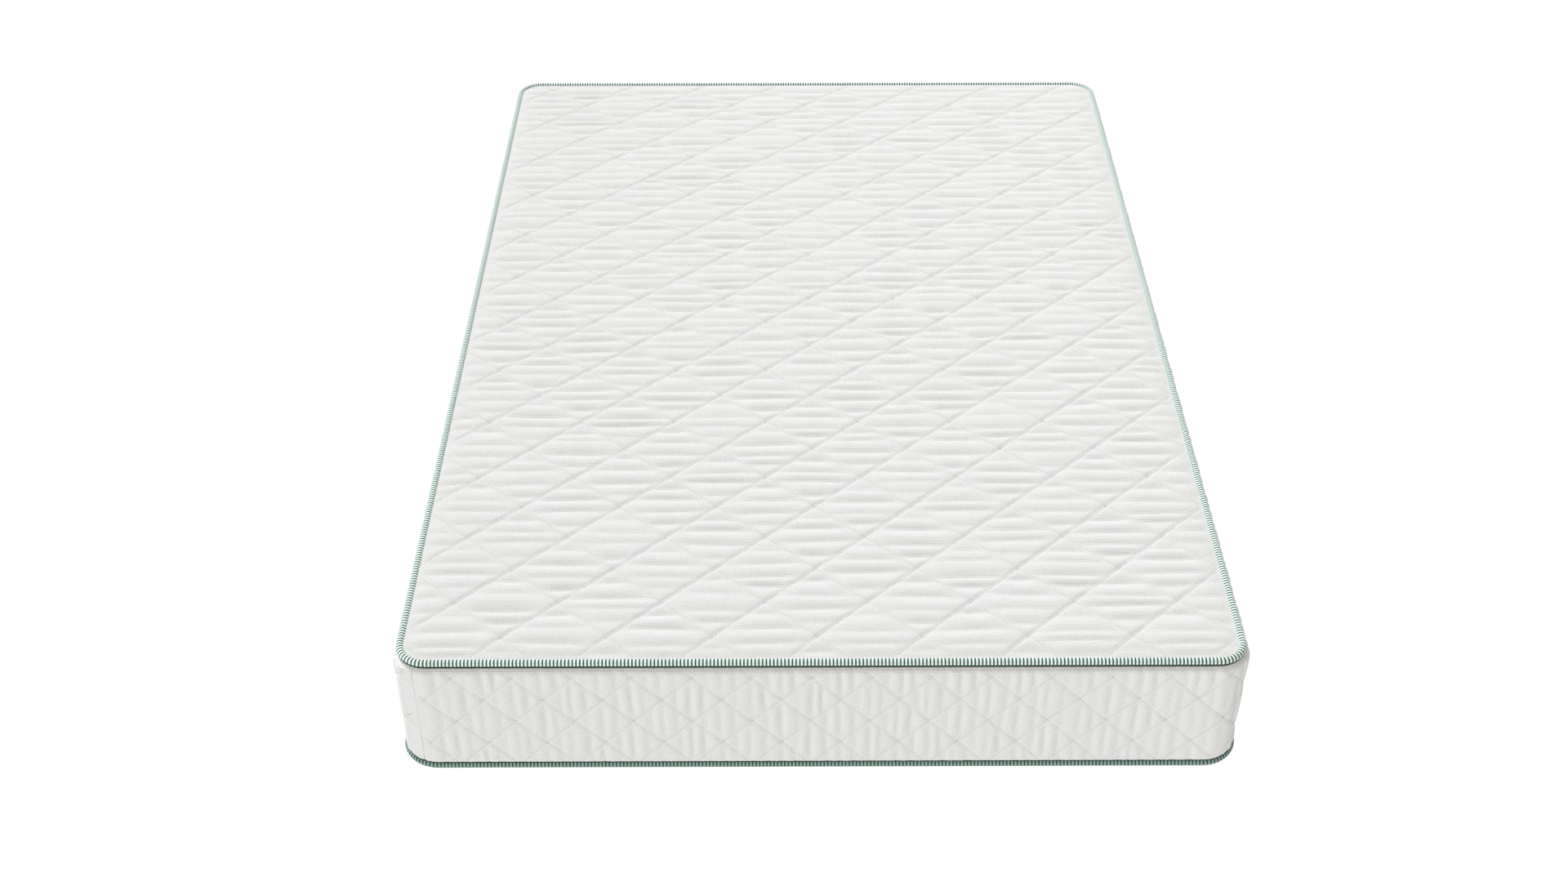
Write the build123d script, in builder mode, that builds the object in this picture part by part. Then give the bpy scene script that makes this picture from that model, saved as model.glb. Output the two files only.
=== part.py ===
from build123d import *
import os

# Memory foam mattress: three glued foam layers in a sock, inside a quilted cover that is
# piped round both edges and closed by a zip along the head end.
# Frame: origin in the middle of the underside, X across, Y towards the head end, Z up.
# An inset is a distance inwards from the border's outer face, and a depth is the same on
# the head end.

# Plan of the border's outer face
width = 1400.0
length = 2000.0
corner_radius = 60.0

# Foam core and its sock
base_foam_height = 130.0
transition_foam_height = 40.0
memory_foam_height = 50.0
sock_wall = 0.5
core_clearance = 0.5

# Quilted top panel, quilted border and plain underside
top_backing_wall = 1.0
top_fill_wall = 13.0
top_face_wall = 1.5
border_backing_wall = 1.0
border_fill_wall = 6.5
border_face_wall = 1.5
bottom_panel_wall = 1.5

# Round piping: a filler cord in a fabric sleeve, whose raw edges lie in the seams
piping_diameter = 13.0
piping_sleeve_wall = 1.5
top_piping_setback = 7.0
bottom_piping_overhang = 5.0
seam_wall = 1.0
seam_allowance = 20.0
piping_clearance = 0.5
panel_clearance = 0.3

# Zip in the head end, just above the bottom piping
zip_end_margin = 20.0
zip_tape_width = 5.7
zip_tape_wall = 0.6
chain_row_height = 2.5
chain_row_gap = 1.6
chain_depth = 3.1
chain_thickness = 2.4
stop_length = 3.5
stop_lip = 0.4
tape_tail = 8.0

# Slider: two plates joined by a web, with rails that steer the coil
slider_length = 26.0
slider_height = 11.0
slider_corner = 3.0
front_plate_thickness = 1.7
back_plate_thickness = 1.5
plate_clearance = 0.5
rail_height = 1.6
web_length = 6.0
web_clearance = 0.3

# Bail on the slider's front, and the pull tab that swings in it
bail_length = 10.0
bail_width = 1.6
bail_bar = 1.2
bail_opening = 2.3
pull_length = 22.0
pull_width = 6.0
pull_thickness = 1.0
pull_bar = 1.2
pull_slot_length = 6.4
pull_slot_clearance = 0.9
pull_end_radius = 2.4

# Blank care label, sewn into the upper seam and hanging on the head end
label_width = 60.0
label_height = 75.0
label_thickness = 0.3
label_centre_x = -450.0

# Heights, from the floor up
piping_radius = piping_diameter / 2
border_wall = border_backing_wall + border_fill_wall + border_face_wall
border_bottom = piping_diameter + piping_clearance
sock_bottom = bottom_panel_wall + seam_wall
foam_bottom = sock_bottom + sock_wall
transition_bottom = foam_bottom + base_foam_height
memory_bottom = transition_bottom + transition_foam_height
foam_top = memory_bottom + memory_foam_height
sock_top = foam_top + sock_wall
border_top = sock_top
border_height = border_top - border_bottom
top_panel_bottom = border_top + seam_wall
top_fill_bottom = top_panel_bottom + top_backing_wall
top_face_bottom = top_fill_bottom + top_fill_wall
top_piping_height = border_top + piping_clearance + piping_radius

# Insets: the core keeps clear of the border and of the bottom piping, whichever reaches in further
top_piping_inset = top_piping_setback + piping_radius
bottom_piping_inset = piping_radius - bottom_piping_overhang
sock_inset = max(border_wall, bottom_piping_inset + piping_radius) + core_clearance
foam_inset = sock_inset + sock_wall
top_panel_inset = top_piping_inset + piping_radius + panel_clearance
bottom_panel_inset = bottom_piping_inset + piping_radius + panel_clearance

# Zip, from the bottom seam up and from its middle outwards
zip_opening_length = width - 2 * corner_radius - 2 * zip_end_margin
zip_opening_height = chain_row_gap + 2 * (chain_row_height + zip_tape_width)
zip_height = border_bottom + zip_opening_height / 2
chain_offset = (chain_row_gap + chain_row_height) / 2
tape_offset = chain_row_gap / 2 + chain_row_height + zip_tape_width / 2
chain_back_depth = chain_depth + chain_thickness
tape_depth = chain_back_depth - zip_tape_wall
chain_length = zip_opening_length - 2 * (tape_tail + stop_length)
stop_centre_x = chain_length / 2 + stop_length / 2

# Slider at its closed end
slider_centre_x = chain_length / 2 - plate_clearance - slider_length / 2
slider_travel = 2 * slider_centre_x
front_plate_back_depth = chain_depth - plate_clearance
front_plate_depth = front_plate_back_depth - front_plate_thickness
back_plate_depth = chain_back_depth + plate_clearance
rail_end_depth = tape_depth - plate_clearance
bail_outer_depth = front_plate_depth - bail_opening - bail_bar
pull_axis_depth = front_plate_depth - bail_opening / 2


def outline(inset, mode=Mode.ADD):
    """Rounded plan outline, drawn into the open sketch."""
    RectangleRounded(width - 2 * inset, length - 2 * inset, corner_radius - inset, mode=mode)


def slab(inset, bottom, height, mode=Mode.ADD):
    """Flat slab with the mattress's plan, added to the open part."""
    with BuildSketch(Plane.XY.offset(bottom)) as plan:
        outline(inset)
    extrude(plan.sketch, amount=height, mode=mode)


def band(outer_inset, inner_inset, bottom, height):
    """Upright wall or flat ring that runs once round the mattress."""
    with BuildSketch(Plane.XY.offset(bottom)) as plan:
        outline(outer_inset)
        outline(inner_inset, mode=Mode.SUBTRACT)
    extrude(plan.sketch, amount=height)


def rope(inset, height, radius, mode=Mode.ADD):
    """Round rope laid once round the mattress."""
    half_width = width / 2 - inset
    half_length = length / 2 - inset
    with BuildLine(Plane.XY.offset(height)) as loop:
        FilletPolyline(
            (-half_width, -half_length),
            (half_width, -half_length),
            (half_width, half_length),
            (-half_width, half_length),
            radius=corner_radius - inset,
            close=True,
        )
    with BuildSketch(Plane(origin=loop.line @ 0, z_dir=loop.line % 0)) as section:
        Circle(radius)
    sweep(section.sketch, path=loop.line, mode=mode)


def head_end(depth):
    """Plane in the head end at a depth, with X across and Z up, facing inwards."""
    return Plane.XZ.offset(depth - length / 2)


def plate_on_head_end(centre, size, depth, thickness, mode=Mode.ADD):
    """Rectangular plate in the head end, from its middle and its size."""
    with BuildSketch(head_end(depth)) as plate:
        with Locations(centre):
            Rectangle(*size)
    extrude(plate.sketch, amount=thickness, mode=mode)


def cut_zip_opening():
    """Cuts the zip's opening through a wall of the border."""
    opening_size = (zip_opening_length, zip_opening_height)
    plate_on_head_end((0, zip_height), opening_size, -border_wall, 3 * border_wall, Mode.SUBTRACT)


# Foam core: base, transition and memory foam, glued face to face
with BuildPart() as base_foam:
    slab(foam_inset, foam_bottom, base_foam_height)

with BuildPart() as transition_foam:
    slab(foam_inset, transition_bottom, transition_foam_height)

with BuildPart() as memory_foam:
    slab(foam_inset, memory_bottom, memory_foam_height)

# Inner sock, closed all round the core
with BuildPart() as fire_sock:
    slab(sock_inset, sock_bottom, sock_top - sock_bottom)
    slab(foam_inset, foam_bottom, foam_top - foam_bottom, mode=Mode.SUBTRACT)

# Quilted top panel: backing, fill and face
with BuildPart() as top_panel_backing:
    slab(top_panel_inset, top_panel_bottom, top_backing_wall)

with BuildPart() as top_panel_fill:
    slab(top_panel_inset, top_fill_bottom, top_fill_wall)

with BuildPart() as top_panel_face:
    slab(top_panel_inset, top_face_bottom, top_face_wall)

# Quilted border: face, fill and backing, each a band with the zip's opening in the head end
with BuildPart() as border_face:
    band(0, border_face_wall, border_bottom, border_height)
    cut_zip_opening()

with BuildPart() as border_fill:
    band(border_face_wall, border_face_wall + border_fill_wall, border_bottom, border_height)
    cut_zip_opening()

with BuildPart() as border_backing:
    band(border_face_wall + border_fill_wall, border_wall, border_bottom, border_height)
    cut_zip_opening()

# Plain underside
with BuildPart() as bottom_panel:
    slab(bottom_panel_inset, 0, bottom_panel_wall)

# Piping along the top edge: the sleeve's seam allowance lies under the top panel
with BuildPart() as piping_top_cord:
    rope(top_piping_inset, top_piping_height, piping_radius - piping_sleeve_wall)

with BuildPart() as piping_top_sleeve:
    rope(top_piping_inset, top_piping_height, piping_radius)
    band(
        border_face_wall,
        top_panel_inset + seam_allowance,
        border_top,
        seam_wall,
    )
    rope(
        top_piping_inset,
        top_piping_height,
        piping_radius - piping_sleeve_wall,
        mode=Mode.SUBTRACT,
    )

# Piping along the bottom edge: one raw edge lies on the underside, one meets the border
with BuildPart() as piping_bottom_cord:
    rope(bottom_piping_inset, piping_radius, piping_radius - piping_sleeve_wall)

with BuildPart() as piping_bottom_sleeve:
    rope(bottom_piping_inset, piping_radius, piping_radius)
    band(
        bottom_piping_inset,
        bottom_panel_inset + seam_allowance,
        bottom_panel_wall,
        seam_wall,
    )
    band(border_face_wall, border_wall, border_bottom - seam_wall, seam_wall)
    rope(
        bottom_piping_inset,
        piping_radius,
        piping_radius - piping_sleeve_wall,
        mode=Mode.SUBTRACT,
    )

# Zip tapes, between the border above, the bottom piping below and the coil in the middle
tape_size = (zip_opening_length, zip_tape_width)

with BuildPart() as zip_tape_upper:
    plate_on_head_end((0, zip_height + tape_offset), tape_size, tape_depth, zip_tape_wall)

with BuildPart() as zip_tape_lower:
    plate_on_head_end((0, zip_height - tape_offset), tape_size, tape_depth, zip_tape_wall)

# Rows of the coil
chain_size = (chain_length, chain_row_height)

with BuildPart() as zip_chain_upper:
    plate_on_head_end((0, zip_height + chain_offset), chain_size, chain_depth, chain_thickness)

with BuildPart() as zip_chain_lower:
    plate_on_head_end((0, zip_height - chain_offset), chain_size, chain_depth, chain_thickness)

# Stops: one on each row at the closed end, one across both rows at the open end
stop_depth = chain_depth - stop_lip
stop_thickness = chain_thickness + 2 * stop_lip

with BuildPart() as zip_top_stops:
    for side in (-1, 1):
        plate_on_head_end(
            (stop_centre_x, zip_height + side * chain_offset),
            (stop_length, chain_row_height),
            stop_depth,
            stop_thickness,
        )

with BuildPart() as zip_bottom_stop:
    plate_on_head_end(
        (-stop_centre_x, zip_height),
        (stop_length, chain_row_gap + 2 * chain_row_height),
        stop_depth,
        stop_thickness,
    )

# Slider: front plate with its rails, back plate, web in the gap of the coil, and bail
rail_offset = (slider_height - rail_height) / 2

with BuildPart() as zip_slider:
    for plate_depth, plate_thickness in (
        (front_plate_depth, front_plate_thickness),
        (back_plate_depth, back_plate_thickness),
    ):
        with BuildSketch(head_end(plate_depth)):
            with Locations((slider_centre_x, zip_height)):
                RectangleRounded(slider_length, slider_height, slider_corner)
        extrude(amount=plate_thickness)
    for side in (-1, 1):
        plate_on_head_end(
            (slider_centre_x, zip_height + side * rail_offset),
            (slider_length - 2 * slider_corner, rail_height),
            front_plate_back_depth,
            rail_end_depth - front_plate_back_depth,
        )
    plate_on_head_end(
        (slider_centre_x, zip_height),
        (web_length, chain_row_gap - 2 * web_clearance),
        front_plate_back_depth,
        back_plate_depth - front_plate_back_depth,
    )
    plate_on_head_end(
        (slider_centre_x, zip_height),
        (bail_length, bail_width),
        bail_outer_depth,
        front_plate_depth - bail_outer_depth,
    )
    bail_edges = zip_slider.edges().filter_by(Axis.Z).sort_by(Axis.Y)[-2:]
    fillet(bail_edges, radius=bail_bar / 2)
    plate_on_head_end(
        (slider_centre_x, zip_height),
        (bail_length - 2 * bail_bar, bail_width),
        front_plate_depth - bail_opening,
        bail_opening,
        mode=Mode.SUBTRACT,
    )

# Pull tab: a plate with a slot for the bail, which leaves the bar that it swings on
pull_centre_x = slider_centre_x + pull_bar / 2 - pull_length / 2
pull_slot_centre_x = slider_centre_x - pull_bar / 2 - pull_slot_length / 2
pull_depth = pull_axis_depth - pull_thickness / 2

with BuildPart() as zip_pull_tab:
    with BuildSketch(head_end(pull_depth)):
        with Locations((pull_centre_x, zip_height)):
            RectangleRounded(pull_length, pull_width, pull_end_radius)
        with Locations((pull_slot_centre_x, zip_height)):
            Rectangle(pull_slot_length, bail_width + 2 * pull_slot_clearance, mode=Mode.SUBTRACT)
    extrude(amount=pull_thickness)

# Care label against the border's face, its upper edge in the seam
with BuildPart() as care_label:
    plate_on_head_end(
        (label_centre_x, border_top - label_height / 2),
        (label_width, label_height),
        -label_thickness,
        label_thickness,
    )

pieces = {
    "base_foam": base_foam,
    "transition_foam": transition_foam,
    "memory_foam": memory_foam,
    "fire_sock": fire_sock,
    "top_panel_backing": top_panel_backing,
    "top_panel_fill": top_panel_fill,
    "top_panel_face": top_panel_face,
    "border_face": border_face,
    "border_fill": border_fill,
    "border_backing": border_backing,
    "bottom_panel": bottom_panel,
    "piping_top_cord": piping_top_cord,
    "piping_top_sleeve": piping_top_sleeve,
    "piping_bottom_cord": piping_bottom_cord,
    "piping_bottom_sleeve": piping_bottom_sleeve,
    "zip_tape_upper": zip_tape_upper,
    "zip_tape_lower": zip_tape_lower,
    "zip_chain_upper": zip_chain_upper,
    "zip_chain_lower": zip_chain_lower,
    "zip_top_stops": zip_top_stops,
    "zip_bottom_stop": zip_bottom_stop,
    "zip_slider": zip_slider,
    "zip_pull_tab": zip_pull_tab,
    "care_label": care_label,
}

os.makedirs("parts", exist_ok=True)
for name, piece in pieces.items():
    piece.part.label = name
    export_step(piece.part, f"parts/{name}.step")

print(f"slider closed at x {slider_centre_x}, travel {slider_travel}")
print(f"pull tab axis at y {length / 2 - pull_axis_depth}, z {zip_height}")
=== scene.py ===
import math

import bmesh
import bpy
import numpy as np
from mathutils import Matrix, Vector


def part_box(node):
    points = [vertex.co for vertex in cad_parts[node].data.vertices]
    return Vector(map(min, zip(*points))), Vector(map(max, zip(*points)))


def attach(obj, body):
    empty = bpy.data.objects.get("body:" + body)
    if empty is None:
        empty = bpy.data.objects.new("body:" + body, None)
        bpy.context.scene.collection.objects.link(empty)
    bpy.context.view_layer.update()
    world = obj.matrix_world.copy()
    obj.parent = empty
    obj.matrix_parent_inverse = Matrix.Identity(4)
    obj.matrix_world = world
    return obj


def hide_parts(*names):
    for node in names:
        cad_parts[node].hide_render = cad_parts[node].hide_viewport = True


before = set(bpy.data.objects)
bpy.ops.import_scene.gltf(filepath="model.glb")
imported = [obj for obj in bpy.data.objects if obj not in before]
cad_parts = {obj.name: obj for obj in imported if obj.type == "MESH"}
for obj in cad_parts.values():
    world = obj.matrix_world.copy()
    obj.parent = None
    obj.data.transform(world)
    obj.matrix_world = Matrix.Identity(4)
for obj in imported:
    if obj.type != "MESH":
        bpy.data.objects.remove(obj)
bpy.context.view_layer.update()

# Camera: beyond the foot end and above it, a little left of the middle, looking down on the bed.
eye = Vector((-0.0701, -3.1691, 2.4022))
look_down = math.radians(38.20)
look_right = math.radians(0.236)

camera_data = bpy.data.cameras.new("camera")
camera_data.lens = 43.59
camera_data.sensor_width = 36.0
camera_data.clip_end = 60.0
camera = bpy.data.objects.new("camera", camera_data)
camera.location = eye
camera.rotation_euler = (math.pi / 2 - look_down, 0.0, -look_right)
bpy.context.scene.collection.objects.link(camera)
bpy.context.scene.camera = camera
bpy.context.scene.view_settings.view_transform = "Standard"


# Studio: a white floor that burns out to plain white and an even white surround. A key sun
# shines down from behind the head end on the left, a side sun grazes the foot end and the left
# side, a weak fill lights the right side, and a small lamp brightens the far right of the top.
def linear(code):
    """Linear red, green, blue and alpha of an sRGB hex colour."""
    values = [int(code[i : i + 2], 16) / 255 for i in (0, 2, 4)]
    return (*[v / 12.92 if v <= 0.04045 else ((v + 0.055) / 1.055) ** 2.4 for v in values], 1.0)


def add_node(tree, kind, settings=None, inputs=None):
    """Adds a node, with its settings and its inputs, each a value or a socket to link."""
    node = tree.nodes.new(kind)
    for name, value in (settings or {}).items():
        setattr(node, name, value)
    for name, value in (inputs or {}).items():
        if isinstance(value, bpy.types.NodeSocket):
            tree.links.new(value, node.inputs[name])
        else:
            node.inputs[name].default_value = value
    return node


def new_material(name):
    """An empty material, its tree and its output node."""
    material = bpy.data.materials.new(name)
    material.use_nodes = True
    tree = material.node_tree
    tree.nodes.clear()
    return material, tree, tree.nodes.new("ShaderNodeOutputMaterial")


def object_from(bm, name, *materials):
    """A mesh object from a bmesh, linked into the scene."""
    mesh = bpy.data.meshes.new(name)
    bm.to_mesh(mesh)
    bm.free()
    for material in materials:
        mesh.materials.append(material)
    piece = bpy.data.objects.new(name, mesh)
    bpy.context.scene.collection.objects.link(piece)
    return piece


def add_sun(name, heading, strength, spread):
    """A far, broad light that travels along a heading."""
    data = bpy.data.lights.new(name, "SUN")
    data.energy = strength
    data.color = linear("f5f9ff")[:3]
    data.angle = math.radians(spread)
    light = bpy.data.objects.new(name, data)
    light.rotation_euler = Vector(heading).to_track_quat("-Z", "Y").to_euler()
    bpy.context.scene.collection.objects.link(light)


world = bpy.data.worlds.new("studio")
world.use_nodes = True
world.node_tree.nodes["Background"].inputs["Color"].default_value = linear("fffcf7")
world.node_tree.nodes["Background"].inputs["Strength"].default_value = 0.48
bpy.context.scene.world = world
add_sun("key", (0.42, -0.56, -0.71), 2.78, 10)
head_lamp = bpy.data.lights.new("head_lamp", "AREA")
head_lamp.size = 1.6
head_lamp.energy = 9.0
lamp = bpy.data.objects.new("head_lamp", head_lamp)
lamp.visible_camera = False
lamp.location = (0.6, 1.3, 2.6)
lamp.rotation_euler = (Vector((0.4, 0.9, 0.0)) - lamp.location).to_track_quat("-Z", "Y").to_euler()
bpy.context.scene.collection.objects.link(lamp)
add_sun("side", (0.50, 0.82, 0.12), 1.95, 12)
add_sun("fill", (-0.95, -0.25, 0.12), 0.85, 30)

# Matt white floor paint, lit from within so that it shows no edge and no grey.
floor_paint, tree, output = new_material("white_studio_floor")
floor_shader = add_node(
    tree,
    "ShaderNodeBsdfPrincipled",
    inputs={
        "Base Color": linear("303030"),
        "Roughness": 1.0,
        "IOR": 1.1,
        "Emission Color": linear("ffffff"),
        "Emission Strength": 1.0,
    },
)
tree.links.new(floor_shader.outputs[0], output.inputs["Surface"])
bm = bmesh.new()
floor_reach = 150.0
floor_drop = 0.0008
bmesh.ops.create_grid(bm, x_segments=1, y_segments=1, size=floor_reach)
studio_floor = object_from(bm, "studio_floor", floor_paint)
studio_floor.location.z = -floor_drop
studio_floor.visible_diffuse = False
studio_floor.visible_shadow = False


# Foam core: three layers of polyurethane foam glued together. They are cut from block, so
# they are matt and open-celled, the memory foam finer and creamier than the base.
def foam(name, colour, cell):
    """Cut polyurethane foam: matt, with a fine open cell."""
    material, tree, output = new_material(name)
    place = add_node(tree, "ShaderNodeTexCoord")
    cells = add_node(
        tree,
        "ShaderNodeTexVoronoi",
        inputs={"Vector": place.outputs["Object"], "Scale": 1.0 / cell},
    )
    tone = add_node(
        tree,
        "ShaderNodeMix",
        {"data_type": "RGBA"},
        {0: cells.outputs["Distance"], 6: linear(colour), 7: linear("d9d2bd")},
    )
    relief = add_node(
        tree,
        "ShaderNodeBump",
        inputs={"Strength": 0.5, "Distance": 0.0004, "Height": cells.outputs["Distance"]},
    )
    shader = add_node(
        tree,
        "ShaderNodeBsdfPrincipled",
        inputs={
            "Base Color": tone.outputs[2],
            "Roughness": 0.95,
            "IOR": 1.45,
            "Normal": relief.outputs["Normal"],
        },
    )
    tree.links.new(shader.outputs[0], output.inputs["Surface"])
    return material


def dress(node, material):
    """Gives a CAD node its material."""
    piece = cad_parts[node]
    piece.data.materials.clear()
    piece.data.materials.append(material)


dress("base_foam", foam("base_polyurethane_foam", "e4e8ea", 0.0022))
dress("transition_foam", foam("transition_polyurethane_foam", "efe8d2", 0.0018))
dress("memory_foam", foam("memory_foam_viscoelastic", "f4efdf", 0.0012))


# Sock and filler cords: a thin polyester knit round the core, and the soft twisted cotton
# cords inside the pipings. Both lie inside the cover.
def plain_cloth(name, colour, shade, thread):
    """Plain woven or knitted cloth: matt, its threads drawn coarser than they are."""
    material, tree, output = new_material(name)
    place = add_node(tree, "ShaderNodeTexCoord")
    waves = []
    for direction in ("X", "Y"):
        wave = add_node(
            tree,
            "ShaderNodeTexWave",
            {"wave_type": "BANDS", "bands_direction": direction},
            {
                "Vector": place.outputs["Object"],
                "Scale": math.pi / (10 * thread),
                "Distortion": 0.4,
                "Detail": 1.0,
            },
        )
        waves.append(wave.outputs["Fac"])
    weave = add_node(tree, "ShaderNodeMath", {"operation": "MULTIPLY"}, {0: waves[0], 1: waves[1]})
    tone = add_node(
        tree,
        "ShaderNodeMix",
        {"data_type": "RGBA"},
        {0: weave.outputs[0], 6: linear(shade), 7: linear(colour)},
    )
    relief = add_node(
        tree,
        "ShaderNodeBump",
        inputs={"Strength": 0.6, "Distance": thread / 3, "Height": weave.outputs[0]},
    )
    shader = add_node(
        tree,
        "ShaderNodeBsdfPrincipled",
        inputs={
            "Base Color": tone.outputs[2],
            "Roughness": 0.85,
            "IOR": 1.5,
            "Sheen Weight": 0.2,
            "Normal": relief.outputs["Normal"],
        },
    )
    tree.links.new(shader.outputs[0], output.inputs["Surface"])
    return material


dress("fire_sock", plain_cloth("sock_polyester_knit", "ecebe6", "d5d4cf", 0.0012))
cotton_cord = plain_cloth("filler_cotton_cord", "e6e2d8", "c9c4b8", 0.0010)
dress("piping_top_cord", cotton_cord)
dress("piping_bottom_cord", cotton_cord)


# Quilted top panel: a white double-knit face on a lofted fibre fill, machine quilted in
# diamonds. The machine draws the cloth in along the bed, so it puckers crosswise.
def knit(name, wale, course):
    """White polyester jacquard knit, drawn coarser than it is so that the loops show."""
    material, tree, output = new_material(name)
    cloth = add_node(tree, "ShaderNodeUVMap", {"uv_map": "cloth"})
    split = add_node(tree, "ShaderNodeSeparateXYZ", inputs={0: cloth.outputs["UV"]})
    across = add_node(
        tree, "ShaderNodeMath", {"operation": "MULTIPLY"}, {0: split.outputs["X"], 1: 1 / wale}
    )
    lean = add_node(
        tree, "ShaderNodeMath", {"operation": "PINGPONG"}, {0: across.outputs[0], 1: 0.5}
    )
    along = add_node(
        tree,
        "ShaderNodeMath",
        {"operation": "MULTIPLY_ADD"},
        {0: split.outputs["Y"], 1: 1 / course, 2: lean.outputs[0]},
    )
    waves = []
    for count in (across, along):
        turns = add_node(
            tree, "ShaderNodeMath", {"operation": "MULTIPLY"}, {0: count.outputs[0], 1: 2 * math.pi}
        )
        waves.append(add_node(tree, "ShaderNodeMath", {"operation": "SINE"}, {0: turns.outputs[0]}))
    rib, loop = waves
    loops = add_node(
        tree,
        "ShaderNodeMath",
        {"operation": "MULTIPLY_ADD"},
        {0: rib.outputs[0], 1: 0.5, 2: loop.outputs[0]},
    )
    yarn = add_node(
        tree,
        "ShaderNodeTexNoise",
        inputs={"Vector": cloth.outputs["UV"], "Scale": 260.0, "Detail": 4.0, "Roughness": 0.8},
    )
    patches = add_node(
        tree,
        "ShaderNodeTexNoise",
        inputs={"Vector": cloth.outputs["UV"], "Scale": 9.0, "Detail": 4.0, "Roughness": 0.6},
    )
    warm = add_node(
        tree,
        "ShaderNodeMix",
        {"data_type": "RGBA"},
        {0: patches.outputs["Fac"], 6: linear("f8f7f8"), 7: linear("f9f8f1")},
    )
    fleck = add_node(
        tree,
        "ShaderNodeMapRange",
        inputs={
            "Value": yarn.outputs["Fac"],
            "From Min": 0.35,
            "From Max": 0.65,
            "To Min": 0.89,
            "To Max": 1.0,
        },
    )
    tone = add_node(
        tree,
        "ShaderNodeMix",
        {"data_type": "RGBA", "blend_type": "MULTIPLY"},
        {0: 1.0, 6: warm.outputs[2], 7: fleck.outputs["Result"]},
    )
    height = add_node(
        tree,
        "ShaderNodeMath",
        {"operation": "MULTIPLY_ADD"},
        {0: yarn.outputs["Fac"], 1: 2.5, 2: loops.outputs[0]},
    )
    relief = add_node(
        tree,
        "ShaderNodeBump",
        inputs={"Strength": 0.6, "Distance": 0.0006, "Height": height.outputs[0]},
    )
    shader = add_node(
        tree,
        "ShaderNodeBsdfPrincipled",
        inputs={
            "Base Color": tone.outputs[2],
            "Roughness": 0.8,
            "IOR": 1.5,
            "Sheen Weight": 0.25,
            "Sheen Roughness": 0.5,
            "Normal": relief.outputs["Normal"],
        },
    )
    tree.links.new(shader.outputs[0], output.inputs["Surface"])
    return material


quilt_knit = knit("white_polyester_knit", 0.0028, 0.0024)


class Diamonds:
    """A net of quilting lines: diamonds of one width and height, with one vertex known."""

    def __init__(self, width, height, vertex):
        self.width = width
        self.height = height
        self.vertex = vertex
        self.line_gap = 1 / math.hypot(1 / width, 1 / height)

    def counts(self, x, y):
        """Position counted in falling and in rising lines, whole numbers on the lines."""
        along = (x - self.vertex[0]) / self.width
        up = (y - self.vertex[1]) / self.height
        return along + up, along - up

    def place(self, p, q):
        """Position of a count of lines."""
        return (
            self.vertex[0] + self.width * (p + q) / 2,
            self.vertex[1] + self.height * (p - q) / 2,
        )

    def reach(self, x_range, y_range):
        """Lowest and highest counts of lines over a rectangle."""
        corners = np.array([self.counts(x, y) for x in x_range for y in y_range])
        return np.floor(corners.min(0)).astype(int), np.ceil(corners.max(0)).astype(int)


def trim(bm, point, normal, faces=None):
    """Cuts away what lies past a plane, and returns the faces that are left."""
    geom = [*bm.verts, *bm.edges, *bm.faces]
    if faces is not None:
        edges = [edge for face in faces for edge in face.edges]
        corners = [vert for face in faces for vert in face.verts]
        geom = list(dict.fromkeys([*faces, *edges, *corners]))
    cut = bmesh.ops.bisect_plane(
        bm, geom=geom, dist=1e-6, plane_co=point, plane_no=normal, clear_outer=True
    )
    return [g for g in cut["geom"] if g.is_valid and isinstance(g, bmesh.types.BMFace)]


def quilt_net(net, x_range, y_range, cells):
    """Flat cloth over a rectangle, with mesh edges along every quilting line."""
    bm = bmesh.new()
    half_x = net.width / 2
    half_y = net.height / 2
    lean = Matrix(((half_x, half_x, 0, 0), (half_y, -half_y, 0, 0), (0, 0, 1, 0), (0, 0, 0, 1)))
    low, high = net.reach(x_range, y_range)
    patch = bpy.data.meshes.new("patch")
    single = bmesh.new()
    bmesh.ops.create_grid(single, x_segments=cells, y_segments=cells, size=0.5, matrix=lean)
    single.to_mesh(patch)
    single.free()
    here = Vector((0.0, 0.0, 0.0))
    for i in range(low[0], high[0]):
        for j in range(low[1], high[1]):
            x, y = net.place(i + 0.5, j + 0.5)
            if not x_range[0] - half_x < x < x_range[1] + half_x:
                continue
            if not y_range[0] - half_y < y < y_range[1] + half_y:
                continue
            there = Vector((x, y, 0.0))
            patch.transform(Matrix.Translation(there - here))
            bm.from_mesh(patch)
            here = there
    bpy.data.meshes.remove(patch)
    bmesh.ops.remove_doubles(bm, verts=bm.verts, dist=net.width / cells / 8)
    bmesh.ops.reverse_faces(bm, faces=bm.faces)
    for axis, (low_edge, high_edge) in enumerate((x_range, y_range)):
        for edge, side in ((low_edge, -1), (high_edge, 1)):
            point = Vector((0, 0, 0))
            point[axis] = edge
            normal = Vector((0, 0, 0))
            normal[axis] = side
            trim(bm, point, normal)
    return bm


def round_corners(bm, half, radius, cuts):
    """Trims the four corners of a flat rectangle to a radius."""
    margin = 0.02
    for side_x in (-1, 1):
        for side_y in (-1, 1):
            middle = Vector((side_x * (half[0] - radius), side_y * (half[1] - radius), 0))
            near = [
                f
                for f in bm.faces
                if side_x * (f.verts[0].co.x - middle.x) > -margin
                and side_y * (f.verts[0].co.y - middle.y) > -margin
            ]
            for k in range(1, cuts + 1):
                turn = math.pi / 2 * k / (cuts + 1)
                outward = Vector((side_x * math.sin(turn), side_y * math.cos(turn), 0))
                near = trim(bm, middle + radius * outward, outward, near)


def scatter(i, j, salt):
    """An even spread of numbers from 0 to 1, fixed for each diamond."""
    value = np.sin(i * 127.1 + j * 311.7 + salt * 74.7) * 43758.5453
    return value - np.floor(value)


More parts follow.
